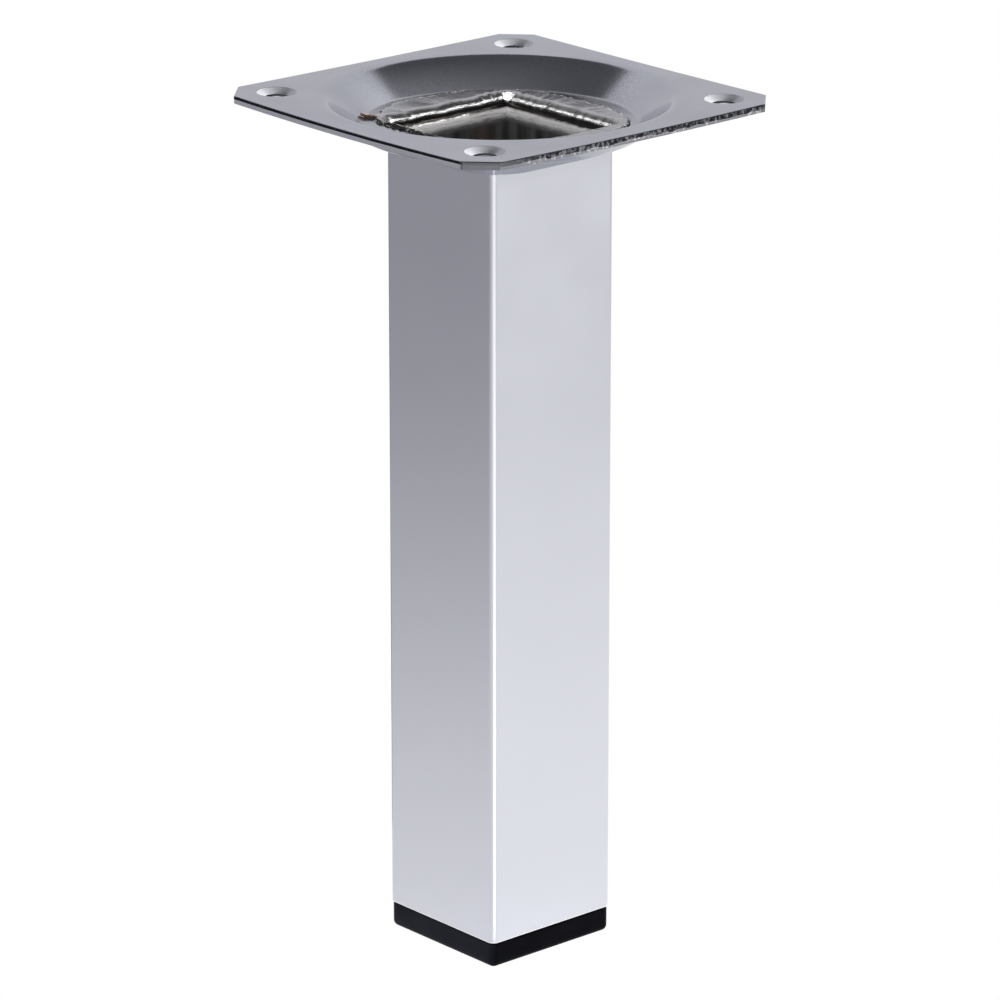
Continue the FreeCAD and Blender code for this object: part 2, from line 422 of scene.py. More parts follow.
def satin_plate():
    """Grey plated sheet with bare sheared edges and matt countersinks, and painted light and shade in
    places.
    """
    finish = Finish("satin_plate")
    cloud = finish.noise(85, detail=4)
    grain = finish.noise(2300, detail=2)
    tone = finish.blend(finish.ramp(cloud, 0, 1, 0.35, 0.65), (0.555, 0.566, 0.635), (0.605, 0.617, 0.685))
    scratch_way = finish.stretched((2600, 45, 300), turn=(0, 0, 0.6))
    scratch = finish.ramp(finish.noise(1, detail=1, place=scratch_way), 0, 1, 0.72, 0.78)
    tone = finish.blend(finish.times(scratch, 0.12), tone, (0.80, 0.81, 0.85))
    # painted shade: a grainy darker tone on the dish's back wall, whose stretched grain also makes a real
    # relief
    drawn = finish.mark("drawn")
    peel = finish.noise(3800, detail=2, roughness=0.7)
    painted_grain_shade = finish.times(drawn, finish.ramp(peel, 0, 0.6, 0.4, 0.65))
    tone = finish.blend(painted_grain_shade, tone, (0.36, 0.37, 0.41))
    # painted shade: dark in the groove round the flange, at the back of the dish
    grime = finish.times(finish.mark("grime"), finish.ramp(grain, 0.6, 1.0, 0.35, 0.6))
    tone = finish.blend(grime, tone, (0.13, 0.125, 0.13))
    # painted shade: the underside and the lower part of each hole darker
    tone = finish.blend(finish.mark("under"), tone, (0.32, 0.33, 0.38))
    seat = finish.mark("seat")
    tone = finish.blend(seat, tone, (0.72, 0.73, 0.77))

    shear, torn = finish.mark("shear"), finish.mark("torn")
    speck = finish.noise(1, detail=2, roughness=0.6, place=finish.stretched((1700, 1700, 1500)))
    broken_off = finish.ramp(shear, 0, 1, 0.62, 0.95)
    # painted dark reflection: the burnished band near black, and the bores painted dark the same way
    burnished_painted_dark = finish.blend(finish.mark("burnt"), (0.30, 0.30, 0.33), (0.010, 0.010, 0.014))
    mottle = finish.times(torn, finish.ramp(speck, 0, 0.55, 0.44, 0.62))
    burnished_painted_dark = finish.blend(mottle, burnished_painted_dark, (0.40, 0.40, 0.44))
    broken = finish.blend(finish.mark("pale"), (0.10, 0.10, 0.115), (0.88, 0.89, 0.94))
    bare = finish.blend(broken_off, burnished_painted_dark, broken)
    low_band = finish.ramp(broken_off, 0.15, 0.8)
    # painted glints: bright specks on the torn band
    painted_glint = finish.times(finish.ramp(speck, 0, 1, 0.56, 0.64), low_band)
    bare = finish.blend(finish.times(torn, painted_glint), bare, (0.90, 0.90, 0.93))
    on_edge = finish.ramp(shear, 0, 1, 0.34, 0.48)
    tone = finish.blend(on_edge, tone, bare)

    rough = finish.ramp(grain, 0.13, 0.18, 0.3, 0.7)
    rough = finish.minus(rough, finish.times(scratch, 0.04))
    rough = finish.plus(rough, finish.times(seat, 0.22))
    stretched_grain = finish.times(grain, finish.ramp(drawn, 0.25, 1.0))
    normal = finish.relief(stretched_grain, 0.007)
    ragged = finish.times(speck, finish.times(torn, on_edge))
    normal = finish.relief(ragged, 0.10, under=normal)
    # painted bounce light: the foot of the back wall made less metallic, so that it takes more light
    haze = finish.times(finish.mark("haze"), finish.ramp(peel, 0.05, 0.23, 0.35, 0.65))
    metal = finish.minus(finish.ramp(seat, 1.0, 0.5), haze)
    return finish.wear(Base_Color=tone, Metallic=metal, Roughness=rough, Normal=normal)


plate_finish = satin_plate()
print("finish", plate_finish.name, "with", len(plate_finish.node_tree.nodes), "nodes")

# %% [markdown]
# ## The mounting plate
# One section runs from the collar round the tube, over the dish's floor, up its wall, out to the sheared
# edge and back along the underside. It starts on a square, becomes a circle at the dish and ends on a
# square with cut corners, so the rows lead from one outline to the next. Every column stays the same
# column throughout, which keeps the mesh a plain grid that closes both ways.

# %% The plate's grid
SIDE_STEPS = 64
CORNER_STEPS = 16
LAND_STEPS = 14
FLOOR_STEPS = 4
EDGE_ROLL = 0.2             # the shear draws the upper edge over

collar_square = columns_round(tube_half - TUBE_CORNER, SIDE_STEPS, CORNER_STEPS)
plate_columns = len(collar_square[0])


def plate_outline(inset):
    """The plate's outline moved inwards: a square whose cut corners stay parallel to the real ones."""
    half = plate_half - inset
    cut = corner_cut - inset * (2 - math.sqrt(2))
    along = np.linspace(-1, 1, SIDE_STEPS, endpoint=False)
    share = np.linspace(0, 1, CORNER_STEPS, endpoint=False)
    side = np.stack([np.full(SIDE_STEPS, half), (half - cut) * along], axis=1)
    corner = np.stack([half - cut * share, half - cut * (1 - share)], axis=1)
    return four_times(np.concatenate([side, corner]))


rim = plate_outline(0)
rim_way = rim / np.linalg.norm(rim, axis=1)[:, None]


def on_rim(inset, level):
    """One row on the plate's outline, moved inwards by one number or by one for each column."""
    moved = plate_outline(EDGE_ROLL)
    step = (rim - moved) / EDGE_ROLL
    plan = rim - step * np.broadcast_to(inset, plate_columns)[:, None]
    return raised(plan, level)[None]


low_roll = floor_radius, floor_top + LOWER_ROLL
high_roll = dish_radius, plate_top - UPPER_ROLL
collar_inside = np.concatenate([
    straight((COLLAR_CLEARANCE, collar_edge_level), (COLLAR_CLEARANCE, bend_level), 2)[:-1],
    arc(FLARE_RADIUS, bend_level, FLARE_RADIUS - COLLAR_CLEARANCE, 180, 90, 8),
])
collar_tip = COLLAR_CLEARANCE + COLLAR_EDGE, collar_edge_level
collar_outside = np.concatenate([
    arc(FLARE_RADIUS, bend_level, FLARE_RADIUS - COLLAR_CLEARANCE - SHEET, 90, 180, 6),
    straight((COLLAR_CLEARANCE + SHEET, bend_level), collar_tip, 3)[1:],
])
dish_inside = np.concatenate([
    arc(*low_roll, LOWER_ROLL, -90, DISH_WALL_ANGLE - 90, 8),
    arc(*high_roll, UPPER_ROLL, DISH_WALL_ANGLE + 90, 90, 12),
])
dish_outside = np.concatenate([
    arc(*high_roll, UPPER_ROLL - SHEET, 90, DISH_WALL_ANGLE + 90, 8),
    arc(*low_roll, LOWER_ROLL + SHEET, DISH_WALL_ANGLE - 90, -90, 8),
])
sections = collar_inside, dish_inside, dish_outside, collar_outside
print("sections of", [len(section) for section in sections], "points")

# %% [markdown]
# ### The sheared edge
# Each side and each cut corner is one stroke of the shear. The strokes follow one another round the plate,
# starting with the side that faces +X. The last one starts clean at its corner and then tears. Below the
# burnished band the sheet broke off, and the broken face steps in a little.

# %% How the edge came out, side by side
SIDE_TORN, CORNER_TORN = (0.6, 0.5, 0.10, 1.0), 0.04            # how ragged the broken band is
# The smooth band's darkness set below is a painted dark reflection.
SIDE_PAINTED_DARK, CORNER_PAINTED_DARK = (0.8, 0.9, 1.0, 0.95), 0.55          # how dark the smooth band is
SIDE_PALE, CORNER_PALE = (0.4, 0.5, 0.9, 0.35), 0.12            # how pale the broken band is
SIDE_BURNISH, CORNER_BURNISH = (0.6, 0.6, 0.6, 0.9), 0.55       # depth of the smooth band in mm
CLEAN_START = 0.15          # share of the last side over which the tearing grows
CLEAN_PAINTED_DARK = 0.3           # share of the darkness that is there from the start

along_side = np.linspace(0, 1, SIDE_STEPS, endpoint=False)
grown = np.clip(along_side / CLEAN_START, 0, 1)
growths = (1, 1, 1, grown)


def round_plate(on_sides, on_corners):
    """A number for each column: one for each side, as a number or an array, and one for all cut corners."""
    corner = np.full(CORNER_STEPS, on_corners)
    return np.concatenate([np.r_[side * np.ones(SIDE_STEPS), corner] for side in on_sides])


torn_columns = round_plate([torn * growth for torn, growth in zip(SIDE_TORN, growths)], CORNER_TORN)
darkened = [CLEAN_PAINTED_DARK + (1 - CLEAN_PAINTED_DARK) * growth for growth in growths]
burnt_columns = round_plate([burnt * share for burnt, share in zip(SIDE_PAINTED_DARK, darkened)], CORNER_PAINTED_DARK)
pale_columns = round_plate(SIDE_PALE, CORNER_PALE)
print("edge torn by", torn_columns.min(), "to", torn_columns.max(), "over", plate_columns, "columns")

# %% The edge's rows
BREAK_STEP = 0.12           # height of the step under the smooth band
tear = np.abs(wobble(plate_columns, np.arange(20, 150), seed=3)) * torn_columns
break_line = round_plate(SIDE_BURNISH, CORNER_BURNISH)
break_line = break_line + 0.10 * wobble(plate_columns, np.arange(8, 90), seed=4) * torn_columns
deepest = 0.05 + 0.05 * tear
edge_section = [(EDGE_ROLL * (1 - math.sin(turn)), EDGE_ROLL * (1 - math.cos(turn)))
                for turn in np.radians([30, 60, 90])]
edge_section += [
    (0.0, break_line),
    (0.03 + 0.035 * tear, break_line + BREAK_STEP),
    (deepest, 0.5 * (break_line + BREAK_STEP + SHEET)),
    (0.04 + 0.03 * tear, SHEET),
]
edge_rows = np.concatenate([on_rim(inset, plate_top - depth) for inset, depth in edge_section])
edge_shear = [0.2, 0.4, 0.5, 0.5, 1.0, 1.0, 1.0]
print("the edge has", len(edge_rows), "rows; its torn band is up to", round(deepest.max(), 2), "mm deep")

# %% All rows of the plate
SIDE_BOW = (0.1, 0.1, 0.45, 0.25)       # how far the press pulled the middle of each side down, in mm
BOW_POWER = 1.4                         # how the bow grows over the land, out to the edge
COLLAR_SHORT = 0.7                      # how much shorter the collar came out at its corners, in mm
SHORT_FROM = 0.45                       # share of a half side from which it gets shorter

dish_in, dish_out = about_axis(dish_inside, rim_way), about_axis(dish_outside, rim_way)
collar_in, collar_out = off_tube(collar_inside, *collar_square), off_tube(collar_outside, *collar_square)
upper_rim = on_rim(EDGE_ROLL, plate_top)
lower_rim = on_rim(EDGE_ROLL, plate_top - SHEET)
upper_part = [collar_in, between(collar_in[-1], dish_in[0], FLOOR_STEPS), dish_in,
              between(dish_in[-1], upper_rim[0], LAND_STEPS), upper_rim]
lower_part = [lower_rim, between(lower_rim[0], dish_out[0], LAND_STEPS), dish_out,
              between(dish_out[-1], collar_out[0], FLOOR_STEPS), collar_out]
upper_count = sum(len(rows) for rows in upper_part)
plate_rows = np.concatenate(upper_part + [edge_rows] + lower_part)
land_end = upper_count - 1
under_start = upper_count + len(edge_rows)
shear_of_row = np.zeros(len(plate_rows))
shear_of_row[upper_count:under_start] = edge_shear
shear_of_row[under_start] = 0.3
row_number = np.arange(len(plate_rows))
land_places = [land_end - LAND_STEPS, land_end, under_start, under_start + LAND_STEPS]
bow_columns = round_plate([bow * (1 - (2 * along_side - 1) ** 2) for bow in SIDE_BOW], 0.0)
plate_rows[:, :, 2] -= np.outer(np.interp(row_number, land_places, [0, 1, 1, 0]) ** BOW_POWER, bow_columns)
to_corner = np.clip((np.abs(2 * along_side - 1) - SHORT_FROM) / (1 - SHORT_FROM), 0, 1) ** 2
below_bend = np.clip((bend_level - plate_rows[:, :, 2]) / (bend_level - collar_edge_level), 0, 1)
plate_rows[:, :, 2] += COLLAR_SHORT * below_bend * round_plate([to_corner] * 4, 1.0)
print("plate grid of", len(plate_rows), "rows and", plate_columns, "columns")

# %% [markdown]
# ## Screw holes in a grid
# A Boolean cut would leave slivers round each hole. Instead a block of quads is left out at each corner,
# on both faces, and a ring of quads leads from the block's edge to the countersink's mouth, down the cone,
# through the sheet and out to the same block on the underside.

# %% Holes
BLOCK_COLUMNS = 11
BLOCK_FIRST, BLOCK_LAST = 3, 11
JOIN_STEPS = 3
hole_section = np.array([
    (COUNTERSINK_RADIUS + 0.25, 0), (COUNTERSINK_RADIUS + 0.08, -0.02), (COUNTERSINK_RADIUS - 0.04, -0.08),
    (0.5 * (COUNTERSINK_RADIUS + hole_radius), -0.5 * COUNTERSINK_DEPTH),
    (hole_radius + 0.05, 0.04 - COUNTERSINK_DEPTH), (hole_radius, -COUNTERSINK_DEPTH - 0.04),
    (hole_radius, 0.1 - SHEET), (hole_radius + 0.1, -SHEET),
])


def loop_round(block):
    """The numbers once round the edge of a block of corner numbers."""
    return np.concatenate([block[0, :-1], block[:-1, -1], block[-1, :0:-1], block[:0:-1, 0]])


def screw_hole(above, below, points):
    """Points and quads of one hole: rings about its axis, joined to the loops on both faces."""
    axis = hole_place * np.sign(points[above, :2].mean(axis=0))
    from_axis = points[above, :2] - axis
    turn = np.unwrap(np.arctan2(from_axis[:, 1], from_axis[:, 0]))
    even = turn[0] + np.sign(turn[-1] - turn[0]) * np.linspace(0, 2 * np.pi, len(turn), endpoint=False)
    circle = ways(even)
    rings = carried(hole_section + (0, plate_top), np.broadcast_to(axis, circle.shape), circle)
    lead_in = between(points[above], rings[0], JOIN_STEPS)
    lead_out = between(rings[-1], points[below], JOIN_STEPS)
    rings = np.concatenate([lead_in, rings, lead_out])
    index = np.vstack([above, len(points) + numbered(rings), below])
    return rings.reshape(-1, 3), quads_between(index).reshape(-1, 4)


numbers = numbered(plate_rows)
plate_quads = quads_between(np.vstack([numbers, numbers[:1]]))
kept = np.ones(plate_quads.shape[:2], bool)
plate_points = plate_rows.reshape(-1, 3)
hole_quads = []
block = np.arange(BLOCK_FIRST, BLOCK_LAST + 1)
upper, lower = land_end - LAND_STEPS + block, under_start + LAND_STEPS - block
for corner in range(4):
    middle = corner * (SIDE_STEPS + CORNER_STEPS) + SIDE_STEPS + CORNER_STEPS // 2
    across = np.arange(middle - BLOCK_COLUMNS, middle + BLOCK_COLUMNS + 1) % plate_columns
    kept[np.ix_(upper[:-1], across[:-1])] = False
    kept[np.ix_(lower[1:], across[:-1])] = False
    loops = [loop_round(numbers[np.ix_(rows, across)]) for rows in (upper, lower)]
    ring_points, ring_quads = screw_hole(*loops, plate_points)
    plate_points = np.concatenate([plate_points, ring_points])
    hole_quads.append(ring_quads)
all_quads = np.concatenate([plate_quads[kept]] + hole_quads)
print("four holes of", len(hole_quads[0]), "quads each")

# %% The left-out corners are dropped, and the plate is made
# painted shade: how dark the screw holes' bores are painted
BORE_PAINTED_DARK = 0.6
AWAY = (0.66, 0.75)         # plan direction from the camera to the dish's back wall


def plate_mark(of_rows=1.0, of_columns=1.0, in_holes=0.0):
    """A number for each corner: a row's number times its column's, and one more number in the holes."""
    on_grid = np.ones(numbers.shape) * np.reshape(of_rows, (-1, 1)) * of_columns
    return np.concatenate([on_grid.ravel(), np.full(len(hole_points), in_holes)])


hole_points = plate_points[numbers.size:]
from_axis = np.hypot(*(np.abs(hole_points[:, :2]) - hole_place).T)
in_bore = from_axis < hole_radius + 0.02
in_seat = (from_axis < COUNTERSINK_RADIUS - 0.02) & ~in_bore
below_hole = hole_points[:, 2] < plate_top - 0.9 * SHEET
in_seat &= ~below_hole
dish_start = len(collar_in) + FLOOR_STEPS - 1
# the dish's back, the side facing the camera, where the painted shade and painted bounce light go
back_columns = np.clip((rim_way @ AWAY - 0.2) / 0.4, 0, 1)
# rows of the painted shade in the groove
grime_rows = np.interp(row_number, [dish_start + 2, dish_start + 5], [1, 0])
# rows of the painted bounce light at the wall's foot
haze_rows = np.interp(row_number, dish_start + np.array([-1, 0, 8, 9]), [0, 1, 1, 0])
# rows of the back wall's grain and its painted shade
drawn_rows = np.interp(row_number, dish_start + np.array([3, 7, 14, 20]), [0, 1, 1, 0])
plate_marks = {
    "shear": plate_mark(shear_of_row, in_holes=0.5 * in_bore),
    "torn": plate_mark(of_columns=torn_columns),
    # painted dark reflection on the burnished band, and painted shade in the bores
    "burnt": plate_mark(of_columns=burnt_columns, in_holes=BORE_PAINTED_DARK * in_bore),
    "pale": plate_mark(of_columns=pale_columns),
    # painted shade on the underside
    "under": plate_mark(row_number >= under_start, in_holes=1.0 * below_hole),
    "seat": plate_mark(0.0, in_holes=1.0 * in_seat),
    # painted shade in the groove at the back
    "grime": plate_mark(grime_rows, back_columns),
    "drawn": plate_mark(drawn_rows, back_columns),
    "haze": plate_mark(haze_rows, back_columns),
}
print("marks", list(plate_marks))
used = np.unique(all_quads)
renumbered = np.zeros(len(plate_points), int)
renumbered[used] = np.arange(len(used))
plate_piece = make_piece("pressed_plate", plate_points[used], renumbered[all_quads].tolist(), "leg",
                         [plate_finish], "mounting_plate",
                         marks={name: values[used] for name, values in plate_marks.items()})

# %% [markdown]
# ## The tube's two finishes
# Outside, the tube has a smooth silver lacquer: fine metal flakes under a faint orange peel. The mouth was
# flared after lacquering, so the roll and flange are bare steel, polished by the tool in streaks that run
# round the mouth, and the inside keeps its dull mill surface with vertical streaks and brownish stains.
# Seen from the inside out, the bands are a painted highlight on the lip, a painted dark reflection, a
# painted highlight on the ridge, a painted shade in the hollow and the flange's own grey. Those bands are a
# list of places along the wall, in millimetres, with a colour.

# %% Painted highlights, dark reflections and shade in bands round the mouth
# painted light: highlights on the lip and ridge, a dark reflection, shade in the hollow, then plain grey
PAINTED_BANDS = [
    (-2.4, (0.05, 0.05, 0.05)), (-1.4, (0.16, 0.157, 0.155)), (-0.6, (0.70, 0.69, 0.69)),
    (0.3, (0.88, 0.87, 0.87)), (0.6, (0.45, 0.44, 0.44)), (0.8, (0.03, 0.027, 0.025)),
    (1.7, (0.05, 0.046, 0.043)), (2.1, (0.30, 0.295, 0.29)), (2.25, (0.80, 0.79, 0.79)),
    (2.65, (0.84, 0.83, 0.83)), (2.85, (0.20, 0.195, 0.195)), (3.5, (0.22, 0.215, 0.215)),
    (4.2, (0.54, 0.54, 0.55)), (8.0, (0.60, 0.60, 0.62)),
]
BANDS_FROM, BANDS_TO = PAINTED_BANDS[0][0], PAINTED_BANDS[-1][0]
print("tool bands from", BANDS_FROM, "to", BANDS_TO, "mm")

# %% Silver lacquer and worked steel


def silver_lacquer():
    """Metal flakes in a smooth lacquer, with a painted white highlight along the rounding of the lower edge.
    """
    finish = Finish("silver_lacquer", Metallic=0.94)
    flake = finish.noise(9000, detail=1)
    cloud = finish.noise(40, detail=3)
    peel = finish.noise(420, detail=2)
    tone = finish.blend(finish.ramp(flake, 0, 1, 0.3, 0.7), (0.68, 0.69, 0.742), (0.73, 0.74, 0.795))
    # painted highlight: the lower edge's rounding near white
    tone = finish.blend(finish.mark("sawn"), tone, (0.97, 0.97, 0.98))
    rough = finish.plus(finish.ramp(cloud, 0.20, 0.24, 0.3, 0.7), finish.ramp(flake, -0.02, 0.02))
    normal = finish.relief(peel, 0.004)
    return finish.wear(Base_Color=tone, Roughness=rough, Normal=normal)


def steel_with_painted_bands():
    """Bare steel with bands of painted light and shade round the mouth, dull and stained inside.

    The mesh's number called reach is the way along the wall in millimetres, 0 where the straight inside
    ends, growing up over the roll and along the flange. Around is the way round the mouth, edge is the
    distance in from the flange's torn edge, and rust is 1 at the scorched tear. Along that edge a painted
    shadow darkens the flange, with light flecks.
    """
    finish = Finish("steel_with_painted_bands")
    reach, around = finish.mark("reach"), finish.mark("around")
    way = finish.add("ShaderNodeCombineXYZ", finish.times(reach, 2.6),
                     finish.times(around, 0.22)).outputs["Vector"]
    streak = finish.noise(1, detail=4, roughness=0.65, place=way)
    blotch = finish.noise(700, detail=3, roughness=0.65)
    inside_streak = finish.noise(1, detail=3, place=finish.stretched((520, 520, 14)))
    stain = finish.noise(160, detail=3)

    wander = finish.ramp(streak, -0.2, 0.2, 0.3, 0.7)
    wander = finish.plus(wander, finish.ramp(blotch, -0.12, 0.12, 0.3, 0.7))
    # painted light and shade: the bands along the wall, shifted by the streaks and blotches
    scale = finish.ramp(finish.plus(reach, wander), 0, 1, BANDS_FROM, BANDS_TO)
    span = BANDS_TO - BANDS_FROM
    worked = finish.bands(scale, [((at - BANDS_FROM) / span, shade) for at, shade in PAINTED_BANDS])
    worked = finish.blend(finish.ramp(streak, 0.45, 0, 0.34, 0.46), worked, (0.10, 0.095, 0.09))
    streaked = finish.ramp(inside_streak, 0, 1, 0.35, 0.65)
    dull = finish.blend(streaked, (0.022, 0.022, 0.024), (0.10, 0.10, 0.105))
    dull = finish.blend(finish.ramp(stain, 0, 0.6, 0.52, 0.62), dull, (0.07, 0.045, 0.032))
    tone = finish.blend(finish.ramp(reach, 0, 1, -2.6, -1.6), dull, worked)
    fleck = finish.noise(1300, detail=2, roughness=0.6)
    # painted shadow along the flange's torn edge, with light flecks of scorched metal
    edge = finish.plus(finish.mark("edge"), finish.ramp(blotch, -0.4, 0.4, 0.3, 0.7))
    shadowed_border = finish.ramp(edge, 0.95, 0, 0.35, 0.75)
    scorched = finish.blend(finish.ramp(fleck, 0, 1, 0.53, 0.60), (0.02, 0.019, 0.019), (0.42, 0.41, 0.40))
    tone = finish.blend(shadowed_border, tone, scorched)
    rust = finish.mark("rust")
    tone = finish.blend(finish.times(rust, 0.9), tone, (0.13, 0.078, 0.058))

    rough = finish.plus(finish.ramp(reach, 0.42, 0.13, -0.5, 1.5), finish.ramp(streak, -0.03, 0.10))
    normal = finish.relief(streak, 0.04)
    normal = finish.relief(inside_streak, 0.01, under=normal)
    metal = finish.times(finish.ramp(rust, 1.0, 0.2), finish.ramp(reach, 0.35, 1.0, 0.3, 0.9))
    metal = finish.times(metal, finish.ramp(shadowed_border, 1.0, 0.3))
    return finish.wear(Base_Color=tone, Metallic=metal, Roughness=rough, Normal=normal)


lacquer = silver_lacquer()
bare_steel = steel_with_painted_bands()
print("finishes", lacquer.name, bare_steel.name)

# %% [markdown]
# ## The tube
# The tube's wall is one closed section carried round its square: up the outside, out under the flange,
# over its torn edge, back along the top, down the roll and down the inside to the sawn end.

# %% The tube's grid
TUBE_SIDE_STEPS = 76
TUBE_CORNER_STEPS = 20
SAWN_EDGE = 0.2             # small rounding of the tube's lower edges

feet, facing = columns_round(tube_half - TUBE_CORNER, TUBE_SIDE_STEPS, TUBE_CORNER_STEPS)
tube_columns = len(feet)
roll_radius = flange_top - bend_level
roll_out = roll_radius - tube_wall
mouth_turn = np.degrees(np.arctan2(*(feet + facing * (TUBE_CORNER + roll_out)).T[::-1]))


def bent(out, radius, starts, ends, steps):
    """Rows of an arc about the bend's centre, from one angle for each column to another."""
    turn = np.radians(np.linspace(starts, ends, steps + 1))
    plan = feet + facing * (TUBE_CORNER + out + radius * np.cos(turn))[:, :, None]
    return raised(plan, bend_level + radius * np.sin(turn))


print("tube of", tube_columns, "columns; the mouth's roll has a radius of", round(roll_radius, 2), "mm")

# %% [markdown]
# The flange is where the spread metal stopped. It reaches further at the tube's corners than at its sides,
# and on the side that faces -X it is torn off along the bend. So both bends stop early there, and the
# flange's width shrinks to nothing. At one corner a scorched tab of metal has curled out over the dish.

# %% The torn flange
FLANGE_EDGE = np.array([                # degrees round the axis, and mm from it
    (-165, 21.5), (-135, 22.5), (-100, 21.5), (-75, 21.5), (-50, 23.7), (-42, 23.7), (-31, 23.2),
    (-18, 22.0), (-1, 21.2), (12, 21.5), (24, 22.5), (32, 23.4), (53, 23.6), (62, 24.0), (67, 23.8),
    (72, 22.6), (80, 22.5), (91, 22.8), (105, 23.5), (118, 23.2), (127, 22.8), (136, 22.6), (165, 21.5),
])
TORN = 0.16                 # usual depth of the ragged edge
TAB_TURN, TAB_WIDTH, TAB_REACH = 129.8, 1.2, 3.2         # degrees, degrees and mm
OUTER_STOP, INNER_STOP = 25, 14                          # degrees by which the bends stop early
OFF_HALF, OFF_FADE = 44, 8                               # degrees: half of the torn-off side, its ends
STUB = 0.2                  # what is left of the flange there

from_torn_side = np.abs(mouth_turn % 360 - 180)
short = np.clip((OFF_HALF - from_torn_side) / OFF_FADE, 0, 1)
tear_off = short * (1 + 0.25 * wobble(tube_columns, np.arange(10, 120), seed=12))
outside = np.concatenate([
    off_tube(np.concatenate([
        arc(-SAWN_EDGE, tube_end + SAWN_EDGE, SAWN_EDGE, -90, 0, 3),
        straight((0, tube_end + 1.6 * SAWN_EDGE), (0, bend_level), 30),
    ]), feet, facing),
    bent(FLARE_RADIUS, FLARE_RADIUS, np.full(tube_columns, 180), 90 + OUTER_STOP * tear_off, 8)[1:],
])
roll = bent(roll_out, roll_radius, 90 + INNER_STOP * tear_off, np.full(tube_columns, 180), 24)
inside = off_tube(np.concatenate([
    straight((-tube_wall, bend_level), (-tube_wall, tube_end + SAWN_EDGE), 40)[1:],
    arc(SAWN_EDGE - tube_wall, tube_end + SAWN_EDGE, SAWN_EDGE, 180, 270, 3)[1:],
]), feet, facing)
bend_radius = np.linalg.norm(roll[0, :, :2], axis=1)
flange_way = roll[0, :, :2] / bend_radius[:, None]
tab = np.exp(-((mouth_turn - TAB_TURN) / TAB_WIDTH) ** 2)
ragged = np.interp(mouth_turn, *FLANGE_EDGE.T, period=360) + TAB_REACH * tab
ragged += TORN * wobble(tube_columns, np.arange(7, 120), seed=11)
torn_off = bend_radius + STUB + 0.1 * wobble(tube_columns, np.arange(9, 140), seed=13)
ragged = (1 - short) * ragged + short * torn_off
print("flange reaches", round(ragged.min(), 1), "to", round(ragged.max(), 1), "mm from the axis")

# %% The tube's rows
UNDER_STEPS, FACE_STEPS = 4, 14
EDGE_PLACES = (0.12, 0.0), (0.0, 0.3), (0.03, 0.7), (0.2, 1.0)      # mm in from the edge, share up


def flange_row(inset, share):
    """One row round the flange, in from its ragged edge, a share of the way up from its lower face.

    It is raised where the dish's floor bends up.
    """
    radius = ragged - inset * (1 - 0.6 * short)
    past_floor = np.clip(radius - floor_radius, 0, LOWER_ROLL)
    rise = LOWER_ROLL - np.sqrt(LOWER_ROLL ** 2 - past_floor ** 2)
    level = outside[-1, :, 2] * (1 - share) + roll[0, :, 2] * share + rise
    return raised(flange_way * radius[:, None], level)[None]


flange_edge = np.concatenate([flange_row(*place) for place in EDGE_PLACES])
flange_under = between(outside[-1], flange_edge[0], UNDER_STEPS)
flange_face = between(flange_edge[-1], roll[0], FACE_STEPS)
tube_rows = np.concatenate([outside, flange_under, flange_edge, flange_face, roll, inside])
print("tube grid of", len(tube_rows), "rows and", tube_columns, "columns")

# %% Marks along the wall and round the mouth
FAR_IN = 9.0                # distance from the flange's edge, for all that isn't flange
PAINTED_HIGHLIGHT_ROWS = 4

face_start = len(outside) + len(flange_under) + len(flange_edge)
roll_start = face_start + len(flange_face)
inside_start = roll_start + len(roll)
steps = np.linalg.norm(np.diff(tube_rows, axis=0), axis=2)
travelled = np.concatenate([np.zeros((1, tube_columns)), np.cumsum(steps, axis=0)])
reach = travelled[inside_start - 1] - travelled
mouth_steps = np.linalg.norm(roll[0] - np.roll(roll[0], 1, axis=0), axis=1)
around = np.broadcast_to(np.cumsum(mouth_steps), reach.shape)
zones = np.ones((len(tube_rows), tube_columns), int)
zones[:len(outside)] = 0
from_edge = np.full(reach.shape, FAR_IN)
flange_rows = slice(len(outside), roll_start + 1)
from_edge[flange_rows] = ragged - np.hypot(tube_rows[flange_rows, :, 0], tube_rows[flange_rows, :, 1])
# painted highlight on the rows of the lower edge's rounding
sawn = np.zeros(reach.shape)
sawn[:PAINTED_HIGHLIGHT_ROWS] = 1
rust = np.clip(1.6 * tab, 0, 1) * np.clip(TAB_REACH + 0.6 - from_edge, 0, 1)
print(f"wall of {travelled[-1].max():.1f} mm once round; the scorched tab has {(rust > 0.5).sum()} corners")

# %% Dents, and the tube is made
SLOW_DENT, QUICK_DENT = 0.05, 0.02      # mm

dent_rows = np.arange(face_start - 1, inside_start - 2)
lift = np.sin(np.linspace(0, np.pi, len(dent_rows)))[:, None]
slow = wobble(tube_columns, np.arange(4, 26), seed=21)
quick = wobble(tube_columns, np.arange(20, 80), seed=22)
tube_rows[dent_rows, :, 2] += lift * (SLOW_DENT * slow + QUICK_DENT * quick)

tube_numbers = numbered(tube_rows)
tube_quads = quads_between(np.vstack([tube_numbers, tube_numbers[:1]]))
tube_marks = {"reach": reach, "around": around, "edge": from_edge, "rust": rust, "sawn": sawn}
tube_piece = make_piece("flared_tube", tube_rows.reshape(-1, 3), tube_quads.reshape(-1, 4).tolist(), "leg",
                        [lacquer, bare_steel], "leg_tube", marks=tube_marks,
                        zones=zones.ravel())

# %% [markdown]
# ## The foot
# The foot is a moulded black plastic square that turns with its stud. A moulding has a fine spark grain,
# softly rounded edges, and a slight shine where it has been handled. The section runs from the middle of
# the pocket for the stud's disc, out of the stud's hole, over the top, down the side and under the sole.

# %% Moulded black plastic


